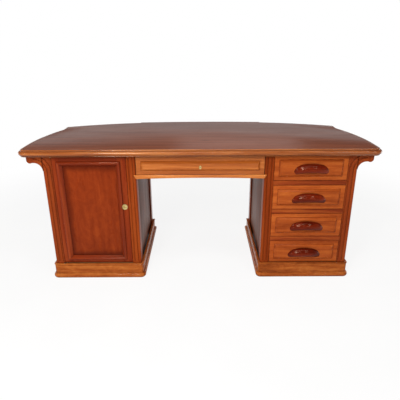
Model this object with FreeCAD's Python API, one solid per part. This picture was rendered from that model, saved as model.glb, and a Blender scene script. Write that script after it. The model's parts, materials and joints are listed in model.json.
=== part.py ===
import FreeCAD, Part
import math
import os

# Captains desk: two pedestals, a drawer over the kneehole and a bowed writing top.
# Millimetres, +Z up, the front faces -Y, the origin is on the floor under the middle of the top.

# Overall sizes
HEIGHT = 780.0             # floor to writing surface
TOP_WIDTH = 1922.0         # tip to tip of the edging
TOP_DEPTH = 796.0          # front tip to rear tip at the middle

# Plan of the top, measured at the tip of the edging
CORNER_R = 45.0            # front corners
SIDE_STRAIGHT = 120.0      # front tip to the start of the bowed side
REAR_NARROW = 77.0         # each rear corner inside the widest point
REAR_FALL = 168.0          # rear corners in front of the rear tip
RETURN_LEN = 90.0          # short straight return in front of a rear corner
BREAK_OVER = 57.0          # proud middle length of the rear edge, beyond the kneehole at each end
BREAK_STEP = 14.0          # how far that length stands proud
CENTRE_LEAN = 4.33         # degrees between the ends of the middle length and its chord
OUTER_LEAN = 7.03          # the same for each outer length
STRAIGHT_END = 44.0        # straight end of a bowed length, where it is mitred

# Section of the top
BOARD_T = 26.0
EDGE_W = 22.0
EDGE_H = 38.0
EDGE_FLAT = 5.0            # flat margin before the bead
BEAD_R = 5.0               # upper bead
QUIRK = 3.0                # depth and width of the quirk under it
FOOT_BEAD = 6.0            # height of the small bead at the bottom

# Pedestals
PED_WIDTH = 500.0
SIDE_OVERHANG = 113.0      # edging tip to the outer face of a pedestal
FRONT_OVERHANG = 48.0      # edging tip to the pedestal face
REAR_OVERHANG_IN = 124.0   # rear tip to the rear of a pedestal at the kneehole
REAR_OVERHANG_OUT = 254.0  # and at its outer side
POST_W = 50.0
POST_D = 55.0
REAR_POST_D = 45.0
ARRIS_R = 7.0              # rounded outer arrises of the front posts
GROOVE_R = 3.0
GROOVE_PITCH = 21.0        # width of the reed between two grooves
GROOVE_EDGE_OUTER = 22.0   # first groove from the outer face of an outer post
GROOVE_EDGE_INNER = 16.0   # first groove from the kneehole face of an inner post
GROOVE_STOP = 16.0         # groove end above the skirting
GROOVE_TOP = 30.0          # groove end below the top
PANEL_T = 14.0
PANEL_SET = 8.0            # panel face behind the post face
PANEL_TONGUE = 8.0         # panel let into the posts
PANEL_LOW = 20.0           # panel bottom above the floor
BOTTOM_T = 18.0
BOTTOM_SET = 2.0           # front edge of the bottom board behind the face

# Corbels
CORBEL_OUT = 81.0
CORBEL_H = 98.0
CORBEL_R = 45.0            # hollow under the scroll
CORBEL_T = 45.0
KNOB_R = 18.0
KNOB_RISE = 15.0           # middle of the knob above the end of the hollow

# Skirting
SKIRT_H = 90.0
SKIRT_T = 11.0             # flat part in front of the posts
TORUS_H = 28.0
TORUS_OUT = 11.0           # torus in front of the flat part
TORUS_FOOT = 4.0           # torus edge in front of the flat part
CAP_H = 8.0
CAP_OUT = 3.0

# Rails
TOP_RAIL_H = 17.0
DIVIDER_H = 26.0
RAIL_D = 40.0
TENON = 10.0
TENON_SHOULDER = 4.0
KNEE_RAIL_H = 22.0
KNEE_ARCH = 6.0            # rise of the arched lower edge
KNEE_LIP_T = 5.0           # lip in front of the posts
KNEE_LIP_OVER = 13.0       # lip over each post at its top edge
KNEE_NOSE_R = 4.0
REAR_RAIL_T = 20.0
REAR_RAIL_SET = 15.0       # behind it to the rear of the post
CENTRE_OPEN_H = 106.0      # opening of the centre drawer

# Drawers
DRAWER_COUNT = 4
DRAWER_GAP = 1.5           # round each drawer front
DRAWER_BACK_GAP = 9.0      # behind the drawers, before the rear outer posts
CENTRE_BACK_GAP = 109.0    # behind the centre drawer, before the rear rail
FRONT_T = 22.0
SIDE_T = 12.0
LAP = 12.0                 # drawer sides let into the front
SIDE_DROP = 20.0           # drawer sides lower than the front
BOTTOM_PANEL_T = 6.0
BOTTOM_RISE = 8.0          # underside of the bottom panel above the side's edge
BOTTOM_GROOVE = 5.0
BACK_DROP = 5.0            # drawer back lower than the sides
RUNNER_H = 18.0
GUIDE_H = 20.0
GUIDE_GAP = 0.5
CENTRE_RUNNER_W = 24.0
FIELD_MARGIN_X = 26.5
FIELD_MARGIN_Z = 23.0
CENTRE_TOP_MARGIN = 28.0
FIELD_PROUD = 13.0
FIELD_BEVEL = 12.0

# Carved pulls: sizes from the raised field and from the middle of the pull
PULL_W = 186.0
PULL_OUT = 30.0
PULL_ARCH = 18.0           # ends lower than the middle
PULL_ROOF = 27.0           # flat top of the upper roll
PULL_ROOF_OUT = 6.0        # and where it starts to turn down
PULL_LOW = 15.0
PULL_BELLY_Z = 3.0         # height of the foremost point
PULL_CREASE_Z = 15.0       # crease between the upper roll and the belly
PULL_CREASE_OUT = 24.5
PULL_ROLL_Z = 23.5         # shoulder of the upper roll
PULL_ROLL_OUT = 18.5
PULL_WALL = 9.0
PULL_LIP = 8.5             # thickness of the lower lip

# Door
DOOR_T = 22.0
DOOR_GAP = 1.5
MARGIN_HINGE = 26.0        # opening edge to the moulding
MARGIN_LOCK = 32.0
MARGIN_TOP = 29.0
MARGIN_BOTTOM = 22.0
MOULD_W = 28.0
MOULD_ON_FRAME = 19.5
MOULD_PROUD = 9.0
MOULD_EDGE = 2.0           # square edges of the section
MOULD_CROWN = 9.0          # highest point from the outer edge
MOULD_SHOULDER = 17.5      # end of the round from the outer edge
MOULD_SHOULDER_OUT = 5.0   # and its height over the door face
DOOR_PANEL_T = 8.0
DOOR_PANEL_SET = 8.0
DOOR_GROOVE = 6.0
DOOR_TENON = 24.0
DOOR_TENON_T = 8.0

# Pivot hinges
PLATE_T = 2.3
PLATE_GAP = 0.4            # between the two plates of a pivot
PLATE_SET = 1.0            # plates behind the face
PLATE_L = 38.0
PLATE_W = 18.0
PIVOT_OUT = 5.0            # pin in front of the face
EAR_R = 4.5
PIN_R = 2.5
PIN_GAP = 0.05

# Door lock
LOCK_Z = 445.0
LOCK_INSET = 23.0          # lock axis from the opening edge
RING_R = 15.5
RING_T = 3.0
BARREL_R = 12.0
BARREL_GAP = 0.1
PLUG_R = 9.0
PLUG_SET = 0.5             # plug face behind the ring face
KEY_W = 2.4
KEY_H = 11.0
KEY_DEEP = 9.0
CASE_WALL = 1.5
CASE_DEEP = 13.0
CASE_REACH = 22.0          # case behind the lock axis
CASE_EDGE = 3.0            # case clear of the door edge
BOLT_H = 24.0
BOLT_TAIL = 13.0
BOLT_SET = 1.0             # withdrawn bolt behind the door edge
CAM_R = 6.0
CAM_PIN_R = 2.0
CAM_GAP = 0.5
RUN_GAP = 0.3              # between sliding lock pieces
MORTISE_SPARE = 4.0        # mortise beyond the thrown bolt

# Centre drawer lock
ESC_W = 12.0
ESC_H = 20.0
ESC_T = 1.5
ESC_DROP = 5.5             # below the middle of the field
KEYHOLE_R = 2.2
CENTRE_CASE_W = 44.0
CENTRE_CASE_H = 62.0
CENTRE_BOLT_W = 20.0
CENTRE_BOLT_TRAVEL = 7.0

# Shelf and top fixings
SHELF_Z = 430.0
SHELF_T = 18.0
SHELF_GAP = 0.5
SHELF_SET = 5.0            # behind the front posts and before the rear posts
PEG_R = 4.0
PEG_OUT = 15.0
PEG_IN = 8.0
PEG_INSET = 60.0
BLOCK_W = 26.0
BLOCK_L = 60.0
BLOCK_H = 30.0
BLOCK_FIRST = 120.0        # behind the face
BLOCK_LAST_GAP = 9.0       # before the rear outer post
SCREW_R = 2.0
SCREW_HEAD_R = 4.5
SCREW_HEAD_H = 3.0
SCREW_BITE = 18.0          # screw in the top board

# Places worked out from the sizes
V = FreeCAD.Vector
UP = V(0, 0, 1)
AHEAD = V(0, 1, 0)
REACH = 3.0 * TOP_WIDTH
OVERCUT = 1.0
HALF = TOP_WIDTH / 2
FRONT = -TOP_DEPTH / 2
BACK = TOP_DEPTH / 2
FACE = FRONT + FRONT_OVERHANG
TOP_Z = HEIGHT - BOARD_T
OUTER_X = HALF - SIDE_OVERHANG
INNER_X = OUTER_X - PED_WIDTH
OPEN_IN = INNER_X + POST_W
OPEN_OUT = OUTER_X - POST_W
INNER_WALL = INNER_X + PANEL_SET + PANEL_T
OUTER_WALL = OUTER_X - PANEL_SET - PANEL_T
OPEN_TOP = TOP_Z - TOP_RAIL_H
PITCH = (OPEN_TOP - SKIRT_H + DIVIDER_H) / DRAWER_COUNT
CENTRE_LOW = OPEN_TOP - CENTRE_OPEN_H
CURL_X = OUTER_X + CORBEL_R
CURL_Z = TOP_Z - CORBEL_H
FIELD_Y = FACE - FIELD_PROUD
DOOR_BACK = FACE + DOOR_T
DOOR_IN = OPEN_IN + DOOR_GAP
DOOR_OUT = OPEN_OUT - DOOR_GAP
HINGE_SPACE = 2 * PLATE_T + PLATE_GAP
DOOR_LOW = SKIRT_H + HINGE_SPACE
DOOR_HIGH = OPEN_TOP - HINGE_SPACE
PIVOT_X = OPEN_OUT - DOOR_GAP / 2
PIVOT_Y = FACE - PIVOT_OUT
LOCK_X = OPEN_IN + LOCK_INSET
CAM_SHIFT = CAM_R * math.sin(math.radians(45))
RAKE = (REAR_OVERHANG_OUT - REAR_OVERHANG_IN) / PED_WIDTH


def rear_y(x):
    """Raked rear line of a pedestal, at a distance x from the middle of the desk."""
    return BACK - REAR_OVERHANG_IN - RAKE * (x - INNER_X)


REAR_IN_Y = rear_y(OPEN_IN) - REAR_POST_D
REAR_OUT_Y = rear_y(OUTER_X) - REAR_POST_D


# Helpers
def box(x0, x1, y0, y1, z0, z1):
    return Part.makeBox(x1 - x0, y1 - y0, z1 - z0, V(x0, y0, z0))


def flip(shape):
    """The same piece on the other side of the desk."""
    return shape.mirror(V(0, 0, 0), V(1, 0, 0))


def joined(first, *others):
    return first.fuse(list(others)).removeSplitter().Solids[0]


def without(shape, cutters):
    """A solid less every cutter that reaches it."""
    for cutter in cutters:
        if shape.BoundBox.intersect(cutter.BoundBox):
            shape = shape.cut(cutter)
    return shape.Solids[0]


def drawn(outline, place):
    """Face of a closed outline: points, or (middle, end) pairs for arcs, put in space by place."""
    edges = []
    here = outline[0]
    for step in outline[1:] + [outline[0]]:
        if isinstance(step[0], tuple):
            middle, end = step
            edges.append(Part.Arc(place(here), place(middle), place(end)).toShape())
        else:
            end = step
            edges.append(Part.LineSegment(place(here), place(end)).toShape())
        here = end
    return Part.Face(Part.Wire(edges))


def plan_prism(outline, z0, z1):
    return drawn(outline, lambda p: V(p[0], p[1], z0)).extrude(UP * (z1 - z0))


def front_prism(outline, y0, y1):
    return drawn(outline, lambda p: V(p[0], y0, p[1])).extrude(AHEAD * (y1 - y0))


def on_circle(centre, radius, degrees):
    angle = math.radians(degrees)
    return (centre[0] + radius * math.cos(angle), centre[1] + radius * math.sin(angle))


# Moulding runs: an outline of (distance outwards, height) carried along a plan path, anticlockwise
def section(outline, origin, outward):
    return drawn(outline, lambda p: V(origin.x + outward.x * p[0], origin.y + outward.y * p[0], p[1]))


def straight_run(outline, start, end, before=0.0, after=0.0):
    along = (end - start).normalize()
    outward = V(along.y, -along.x, 0)
    length = start.distanceToPoint(end) + before + after
    return section(outline, start - along * before, outward).extrude(along * length)


def curved_run(outline, centre, start, turn, before=0.0, after=0.0):
    radius = start.distanceToPoint(centre)
    lead = math.degrees(before / radius)
    tail = math.degrees(after / radius)
    face = section(outline, start, (start - centre).normalize())
    face.rotate(centre, UP, -lead)
    return face.revolve(centre, UP, turn + lead + tail)


def trimmed(solid, point, keep):
    """The part of a solid on the keep side of an upright plane through a point."""
    plane = Part.Plane(point, keep).toShape(-REACH, REACH, -REACH, REACH)
    return solid.common(plane.extrude(keep * REACH)).Solids[0]


def turned(direction, degrees):
    """A plan direction turned anticlockwise."""
    angle = math.radians(degrees)
    return V(direction.x * math.cos(angle) - direction.y * math.sin(angle),
             direction.x * math.sin(angle) + direction.y * math.cos(angle), 0)


def bowed_run(outline, start, end, lean, spare):
    """A run with straight ends and an arc between them, leaving its chord at an angle."""
    chord = (end - start).normalize()
    first, last = turned(chord, -lean), turned(chord, lean)
    arc_start, arc_end = start + first * STRAIGHT_END, end - last * STRAIGHT_END
    radius = arc_start.distanceToPoint(arc_end) / (2 * math.sin(math.radians(lean)))
    centre = arc_start - V(first.y, -first.x, 0) * radius
    return joined(straight_run(outline, start, arc_start, spare, 0),
                  curved_run(outline, centre, arc_start, 2 * lean),
                  straight_run(outline, arc_end, end, 0, spare))


def bow_of(length, lean):
    """How far such a run stands outside its chord."""
    angle = math.radians(lean)
    arc_half = length / 2 - STRAIGHT_END * math.cos(angle)
    return STRAIGHT_END * math.sin(angle) + arc_half * math.tan(angle / 2)


def halfway(one, other):
    return (one + other).normalize()


# Writing top
REAR_HALF = HALF - REAR_NARROW
BREAK_HALF = INNER_X + BREAK_OVER
REAR_CORNER = BACK - REAR_FALL
SIDE_RUN = REAR_CORNER - RETURN_LEN - SIDE_STRAIGHT - FRONT
SIDE_R = (REAR_NARROW ** 2 + SIDE_RUN ** 2) / (2 * REAR_NARROW)
SIDE_TURN = math.degrees(math.atan2(SIDE_RUN, SIDE_R - REAR_NARROW))
SIDE_START = V(HALF, FRONT + SIDE_STRAIGHT, 0)
SIDE_CENTRE = V(HALF - SIDE_R, FRONT + SIDE_STRAIGHT, 0)
KINK = V(REAR_HALF, REAR_CORNER - RETURN_LEN, 0)
REAR_POINT = V(REAR_HALF, REAR_CORNER, 0)
CENTRE_END = V(BREAK_HALF, BACK - bow_of(2 * BREAK_HALF, CENTRE_LEAN), 0)
CENTRE_START = V(-CENTRE_END.x, CENTRE_END.y, 0)
OUTER_END = CENTRE_END - AHEAD * BREAK_STEP
CORNER_CENTRE = V(HALF - CORNER_R, FRONT + CORNER_R, 0)
CHORD = (OUTER_END - REAR_POINT).normalize()
OUTER_BOW = bow_of(OUTER_END.distanceToPoint(REAR_POINT), OUTER_LEAN)
OUTER_MIDDLE = (REAR_POINT + OUTER_END) * 0.5 + V(CHORD.y, -CHORD.x, 0) * OUTER_BOW


def edging_runs(outline):
    """Lengths of edging with this outline: front, right side, right return, right rear, rear middle."""
    spare = 2 * EDGE_W
    corner_start = V(HALF - CORNER_R, FRONT, 0)
    corner_half = curved_run(outline, CORNER_CENTRE, corner_start, 45)
    middle = straight_run(outline, V(CORNER_R - HALF, FRONT, 0), corner_start)
    front = joined(middle, corner_half, flip(corner_half))

    kink_cut = halfway(turned(AHEAD, SIDE_TURN), AHEAD)
    corner_cut = halfway(AHEAD, turned(CHORD, -OUTER_LEAN))
    mitre_x, mitre_y = on_circle((CORNER_CENTRE.x, CORNER_CENTRE.y), CORNER_R, -45)
    side = joined(
        curved_run(outline, CORNER_CENTRE, V(mitre_x, mitre_y, 0), 45),
        straight_run(outline, V(HALF, FRONT + CORNER_R, 0), SIDE_START),
        trimmed(curved_run(outline, SIDE_CENTRE, SIDE_START, SIDE_TURN, 0, spare), KINK, kink_cut * -1))
    back_return = straight_run(outline, KINK, REAR_POINT, spare, spare)
    back_return = trimmed(trimmed(back_return, KINK, kink_cut), REAR_POINT, corner_cut * -1)

    rear = bowed_run(outline, REAR_POINT, OUTER_END, OUTER_LEAN, spare)
    rear = trimmed(trimmed(rear, REAR_POINT, corner_cut), OUTER_END, V(1, 0, 0))
    rear_middle = bowed_run(outline, CENTRE_END, CENTRE_START, CENTRE_LEAN, spare)
    rear_middle = trimmed(trimmed(rear_middle, CENTRE_END, V(-1, 0, 0)), CENTRE_START, V(1, 0, 0))
    return front, side, back_return, rear, rear_middle


def edging_outline():
    bead_mid = BEAD_R * math.sin(math.radians(45))
    bead_x = EDGE_FLAT - EDGE_W
    step_x = bead_x + BEAD_R
    nose_x = step_x + QUIRK
    nose_top = HEIGHT - BEAD_R - QUIRK
    foot_top = HEIGHT - EDGE_H + FOOT_BEAD
    foot_low = HEIGHT - EDGE_H
    return [
        (-EDGE_W, HEIGHT), (bead_x, HEIGHT),
        ((bead_x + bead_mid, HEIGHT - BEAD_R + bead_mid), (step_x, HEIGHT - BEAD_R)),
        (step_x, nose_top), (nose_x, nose_top),
        ((0, (nose_top + foot_top) / 2), (nose_x, foot_top)),
        (step_x, foot_top),
        ((step_x + FOOT_BEAD / 2, (foot_top + foot_low) / 2), (step_x, foot_low)),
        (-EDGE_W, foot_low)]


def top_outline():
    """Right half of the tip line from the front to the rear break, then the left half back again."""
    side_mid = on_circle((SIDE_CENTRE.x, SIDE_CENTRE.y), SIDE_R, SIDE_TURN / 2)
    corner_mid = on_circle((CORNER_CENTRE.x, CORNER_CENTRE.y), CORNER_R, -45)
    outer_mid = (OUTER_MIDDLE.x, OUTER_MIDDLE.y)
    steps = [
        (HALF - CORNER_R, FRONT), (corner_mid, (HALF, FRONT + CORNER_R)),
        (HALF, SIDE_START.y), (side_mid, (KINK.x, KINK.y)),
        (REAR_POINT.x, REAR_POINT.y), (outer_mid, (OUTER_END.x, OUTER_END.y)),
        (CENTRE_END.x, CENTRE_END.y), ((0, BACK), (CENTRE_START.x, CENTRE_START.y)),
        (-OUTER_END.x, OUTER_END.y), ((-outer_mid[0], outer_mid[1]), (-REAR_POINT.x, REAR_POINT.y)),
        (-KINK.x, KINK.y), ((-side_mid[0], side_mid[1]), (-HALF, SIDE_START.y)),
        (-HALF, FRONT + CORNER_R), ((-corner_mid[0], corner_mid[1]), (CORNER_R - HALF, FRONT))]
    return steps


def top_board(cutters):
    high, low = HEIGHT + OVERCUT, TOP_Z - OVERCUT
    room = [(-EDGE_W, high), (EDGE_W, high), (EDGE_W, low), (-EDGE_W, low)]
    front, side, back_return, rear, rear_middle = edging_runs(room)
    edges = [front, rear_middle]
    for run in (side, back_return, rear):
        edges += [run, flip(run)]
    board = plan_prism(top_outline(), TOP_Z, HEIGHT)
    return without(board, edges + cutters)


# Rails with tenons
def tenons(x0, x1, y0, y1, z0, z1):
    """Tenons at both ends of a rail between x0 and x1."""
    y_in, y_out = y0 + TENON_SHOULDER, y1 - TENON_SHOULDER
    z_in, z_out = z0 + TENON_SHOULDER, z1 - TENON_SHOULDER
    return [box(x0 - TENON, x0, y_in, y_out, z_in, z_out), box(x1, x1 + TENON, y_in, y_out, z_in, z_out)]


def rail(x0, x1, y0, y1, z0, z1):
    """A rail and the tenons that its posts are mortised for."""
    ends = tenons(x0, x1, y0, y1, z0, z1)
    return joined(box(x0, x1, y0, y1, z0, z1), *ends), ends


def kneehole_rail():
    low = CENTRE_LOW - KNEE_RAIL_H
    ends = tenons(-INNER_X, INNER_X, FACE, FACE + RAIL_D, low + KNEE_ARCH, CENTRE_LOW)
    arch = [(-INNER_X, low), ((0, low + KNEE_ARCH), (INNER_X, low)),
            (INNER_X, CENTRE_LOW), (-INNER_X, CENTRE_LOW)]
    wide = INNER_X + KNEE_LIP_OVER
    lip = [(-INNER_X, low), ((0, low + KNEE_ARCH), (INNER_X, low)), (wide, CENTRE_LOW), (-wide, CENTRE_LOW)]
    lip_solid = front_prism(lip, FACE - KNEE_LIP_T, FACE)
    upper = [e for e in lip_solid.Edges
             if e.BoundBox.ZMin > CENTRE_LOW - 0.01 and e.BoundBox.YMax < FACE - KNEE_LIP_T + 0.01]
    lip_solid = lip_solid.makeFillet(KNEE_NOSE_R, upper)
    return joined(front_prism(arch, FACE, FACE + RAIL_D), lip_solid, *ends), ends


# Pedestal pieces, for the right-hand side
def groove(x, z0, z1):
    bar = Part.makeCylinder(GROOVE_R, z1 - z0, V(x, FACE, z0))
    return joined(bar, Part.makeSphere(GROOVE_R, V(x, FACE, z0)), Part.makeSphere(GROOVE_R, V(x, FACE, z1)))


def curl(x):
    """Groove that leaves an outer post and follows the hollow of the corbel."""
    ring = Part.Face(Part.Wire(Part.makeCircle(GROOVE_R, V(x, FACE, CURL_Z), UP)))
    return ring.revolve(V(CURL_X, FACE, CURL_Z), AHEAD, 90)


OUTER_GROOVES = [OUTER_X - GROOVE_EDGE_OUTER, OUTER_X - GROOVE_EDGE_OUTER - GROOVE_PITCH]
INNER_GROOVES = [INNER_X + GROOVE_EDGE_INNER, INNER_X + GROOVE_EDGE_INNER + GROOVE_PITCH]


def front_post(x0, x1, arris_x, cutters):
    post = box(x0, x1, FACE, FACE + POST_D, 0, TOP_Z)
    arris = [e for e in post.Edges if e.BoundBox.ZLength > TOP_Z / 2
             and abs(e.BoundBox.XMin - arris_x) < 0.01 and e.BoundBox.YMax < FACE + 0.01]
    return without(post.makeFillet(ARRIS_R, arris), cutters)


def corbel():
    neck_z = CURL_Z + CORBEL_R
    knob = (OUTER_X + CORBEL_OUT - KNOB_R, neck_z + KNOB_RISE)
    knob_from = math.degrees(math.asin(KNOB_RISE / KNOB_R)) - 180
    outline = [
        (OUTER_X, CURL_Z),
        (on_circle((CURL_X, CURL_Z), CORBEL_R, 135), (CURL_X, neck_z)),
        on_circle(knob, KNOB_R, knob_from),
        (on_circle(knob, KNOB_R, knob_from / 2), (knob[0] + KNOB_R, knob[1])),
        (knob[0] + KNOB_R, TOP_Z), (OUTER_X, TOP_Z)]
    return without(front_prism(outline, FACE, FACE + CORBEL_T), [curl(x) for x in OUTER_GROOVES])


def rear_post(x0, x1, y0):
    return plan_prism([(x0, y0), (x1, y0), (x1, rear_y(x1)), (x0, rear_y(x0))], 0, TOP_Z)


def side_panels():
    """Panels of the kneehole side and of the outer side."""
    y0 = FACE + POST_D - PANEL_TONGUE
    inner = box(INNER_X + PANEL_SET, INNER_WALL, y0, REAR_IN_Y + PANEL_TONGUE, PANEL_LOW, TOP_Z)
    outer = box(OUTER_WALL, OUTER_X - PANEL_SET, y0, REAR_OUT_Y + PANEL_TONGUE, PANEL_LOW, TOP_Z)
    return inner, outer


def back_line(x, set_back):
    """Point on a line set square from the raked rear line."""
    return (x, rear_y(x) - set_back / math.cos(math.atan(RAKE)))


def back_panel():
    x0, x1 = OPEN_IN - PANEL_TONGUE, OPEN_OUT + PANEL_TONGUE
    inside = PANEL_SET + PANEL_T
    return plan_prism([back_line(x0, inside), back_line(x1, inside),
                       back_line(x1, PANEL_SET), back_line(x0, PANEL_SET)], PANEL_LOW, TOP_Z)


def bottom_board(posts):
    inside = PANEL_SET + PANEL_T
    front = FACE + BOTTOM_SET
    board = plan_prism([(INNER_WALL, front), (OUTER_WALL, front), back_line(OUTER_WALL, inside),
                        back_line(INNER_WALL, inside)], SKIRT_H - BOTTOM_T, SKIRT_H)
    return without(board, posts)


def skirting_outline():
    torus_edge = SKIRT_T + TORUS_FOOT
    return [
        (0, 0), (torus_edge, 0),
        ((SKIRT_T + TORUS_OUT, TORUS_H / 2), (torus_edge, TORUS_H)),
        (SKIRT_T, TORUS_H), (SKIRT_T, SKIRT_H - CAP_H),
        ((SKIRT_T + CAP_OUT, SKIRT_H - CAP_H / 2), (SKIRT_T, SKIRT_H)), (0, SKIRT_H)]


def skirting():
    """Front, outer, rear and inner lengths, mitred at the corners."""
    outline = skirting_outline()
    spare = 3 * (SKIRT_T + TORUS_OUT)
    right = V(1, 0, 0)
    outer_centre = V(OUTER_X - ARRIS_R, FACE + ARRIS_R, 0)
    inner_centre = V(INNER_X + ARRIS_R, FACE + ARRIS_R, 0)
    outer_rear = V(OUTER_X, rear_y(OUTER_X), 0)
    inner_rear = V(INNER_X, rear_y(INNER_X), 0)
    along_rear = (inner_rear - outer_rear).normalize()
    outer_cut = halfway(AHEAD, along_rear)
    inner_cut = halfway(along_rear, AHEAD * -1)

    start = V(INNER_X + ARRIS_R, FACE, 0)
    end = V(OUTER_X - ARRIS_R, FACE, 0)
    mitre_out = outer_centre + (right - AHEAD).normalize() * ARRIS_R
    mitre_in = inner_centre + (right + AHEAD).normalize() * -ARRIS_R
    front = joined(straight_run(outline, start, end), curved_run(outline, outer_centre, end, 45),
                   curved_run(outline, inner_centre, mitre_in, 45))
    outer = straight_run(outline, V(OUTER_X, FACE + ARRIS_R, 0), outer_rear, 0, spare)
    outer = trimmed(outer, outer_rear, outer_cut * -1)
    outer = joined(outer, curved_run(outline, outer_centre, mitre_out, 45))
    rear = straight_run(outline, outer_rear, inner_rear, spare, spare)
    rear = trimmed(trimmed(rear, outer_rear, outer_cut), inner_rear, inner_cut * -1)
    inner_end = V(INNER_X, FACE + ARRIS_R, 0)
    inner = straight_run(outline, inner_rear, inner_end, spare, 0)
    inner = trimmed(inner, inner_rear, inner_cut)
    inner = joined(inner, curved_run(outline, inner_centre, inner_end, 45))
    return [front, outer, rear, inner]


def top_fixings():
    """Blocks in the upper corners of a pedestal, and the screws that hold the top through them."""
    blocks = []
    screws = []
    for x0 in (INNER_WALL, OUTER_WALL - BLOCK_W):
        for y0 in (FACE + BLOCK_FIRST, REAR_OUT_Y - BLOCK_LAST_GAP - BLOCK_L):
            spot = V(x0 + BLOCK_W / 2, y0 + BLOCK_L / 2, TOP_Z - BLOCK_H)
            shank = Part.makeCylinder(SCREW_R, BLOCK_H + SCREW_BITE, spot)
            head = Part.makeCylinder(SCREW_HEAD_R, SCREW_HEAD_H, spot - UP * SCREW_HEAD_H)
            block = box(x0, x0 + BLOCK_W, y0, y0 + BLOCK_L, TOP_Z - BLOCK_H, TOP_Z)
            blocks.append(without(block, [shank]))
            screws.append(joined(shank, head))
    return blocks, screws


def pedestal(mortises):
    """All pieces of a right-hand pedestal without its door or drawers."""
    inner_panel, outer_panel = side_panels()
    panels = [inner_panel, outer_panel, back_panel()]
    stop = SKIRT_H + GROOVE_STOP
    outer_cuts = [groove(x, stop, CURL_Z) for x in OUTER_GROOVES] + [curl(x) for x in OUTER_GROOVES]
    inner_cuts = [groove(x, stop, TOP_Z - GROOVE_TOP) for x in INNER_GROOVES]
    pieces = {
        "front_outer_post": front_post(OPEN_OUT, OUTER_X, OUTER_X, outer_cuts + panels + mortises),
        "front_inner_post": front_post(INNER_X, OPEN_IN, INNER_X, inner_cuts + panels + mortises),
        "rear_inner_post": without(rear_post(INNER_X, OPEN_IN, REAR_IN_Y), panels + mortises),
        "rear_outer_post": without(rear_post(OPEN_OUT, OUTER_X, REAR_OUT_Y), panels + mortises),
        "inner_panel": inner_panel, "outer_panel": outer_panel, "back_panel": panels[2],
        "corbel": corbel(), "skirting": skirting()}
    posts = [pieces[name] for name in pieces if name.endswith("post")]
    pieces["bottom_board"] = bottom_board(posts)
    pieces["blocks"], pieces["screws"] = top_fixings()
    return pieces


# Drawers
def raised_field(x0, x1, z0, z1):
    """Block with bevelled edges, planted on a front."""
    base = Part.makePolygon([V(x0, FACE, z0), V(x1, FACE, z0), V(x1, FACE, z1), V(x0, FACE, z1),
                             V(x0, FACE, z0)])
    b = FIELD_BEVEL
    face = Part.makePolygon([V(x0 + b, FIELD_Y, z0 + b), V(x1 - b, FIELD_Y, z0 + b),
                             V(x1 - b, FIELD_Y, z1 - b), V(x0 + b, FIELD_Y, z1 - b),
                             V(x0 + b, FIELD_Y, z0 + b)])
    return Part.makeLoft([base, face], True, True).Solids[0]


def drawer(x0, x1, low, high, side_low, rear):
    """Front board, and the box of two sides, back and bottom, between x0 and x1."""
    front = box(x0, x1, FACE, FACE + FRONT_T, low, high)
    side_high = high - SIDE_DROP
    front_back = FACE + FRONT_T
    sides = [box(x, x + SIDE_T, front_back - LAP, rear, side_low, side_high) for x in (x0, x1 - SIDE_T)]
    panel_low = side_low + BOTTOM_RISE
    panel = box(x0 + SIDE_T - BOTTOM_GROOVE, x1 - SIDE_T + BOTTOM_GROOVE, front_back - BOTTOM_GROOVE, rear,
                panel_low, panel_low + BOTTOM_PANEL_T)
    back = box(x0 + SIDE_T, x1 - SIDE_T, rear - SIDE_T, rear, panel_low + BOTTOM_PANEL_T,
               side_high - BACK_DROP)
    front = without(front, sides + [panel])
    return front, [without(side, [panel]) for side in sides] + [back, panel]


def pull(x, z):
    """Carved crescent: a hood whose section turns about a leaning axis and dies into the field."""
    lean = math.atan2(PULL_ARCH, PULL_OUT)
    sweep = PULL_OUT / math.cos(lean)
    radius = ((PULL_W / 2) ** 2 + sweep ** 2) / (2 * sweep)
    buried = PULL_OUT / 2
    lip = PULL_OUT - PULL_WALL / 2
    hollow = PULL_OUT - PULL_WALL
    outline = [
        (-buried, PULL_ROOF), (PULL_ROOF_OUT, PULL_ROOF),
        ((PULL_ROLL_OUT, PULL_ROLL_Z), (PULL_CREASE_OUT, PULL_CREASE_Z)),
        ((PULL_OUT, PULL_BELLY_Z), (lip, -PULL_LOW)),
        (lip - PULL_LIP, -PULL_LOW),
        ((hollow, 0), (PULL_CREASE_OUT - PULL_WALL, PULL_CREASE_Z)),
        (-buried, PULL_CREASE_Z)]
    face = drawn(outline, lambda p: V(x, FIELD_Y - p[0], z + p[1]))
    axis_at = V(x, FIELD_Y - PULL_OUT + radius * math.cos(lean), z + PULL_BELLY_Z - radius * math.sin(lean))
    axis = V(0, math.sin(lean), math.cos(lean))
    half_turn = math.degrees(math.asin(PULL_W / 2 / radius) + PULL_WALL / radius)
    face.rotate(axis_at, axis, -half_turn)
    return trimmed(face.revolve(axis_at, axis, 2 * half_turn), V(x, FIELD_Y, z), AHEAD * -1)


def runners():
    """Runners level with the top of each divider with a guide on each, and guides on the bottom board."""
    pieces = []
    y0, y1 = FACE + POST_D, REAR_OUT_Y
    under = DRAWER_GAP + SIDE_T
    for index in range(DRAWER_COUNT):
        low = OPEN_TOP - PITCH * (index + 1) + DIVIDER_H
        for wall, reach, stop in ((INNER_WALL, OPEN_IN + under, OPEN_IN + DRAWER_GAP - GUIDE_GAP),
                                  (OUTER_WALL, OPEN_OUT - under, OPEN_OUT - DRAWER_GAP + GUIDE_GAP)):
            guide = box(min(wall, stop), max(wall, stop), y0, y1, low, low + GUIDE_H)
            if index < DRAWER_COUNT - 1:
                ledge = box(min(wall, reach), max(wall, reach), y0, y1, low - RUNNER_H, low)
                guide = joined(guide, ledge)
            pieces.append(guide)
    return pieces


def centre_runners():
    runner = box(INNER_X - CENTRE_RUNNER_W, INNER_X, FACE + RAIL_D, REAR_IN_Y + REAR_POST_D / 2,
                 CENTRE_LOW - RUNNER_H, CENTRE_LOW)
    return [runner, flip(runner)]


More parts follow.
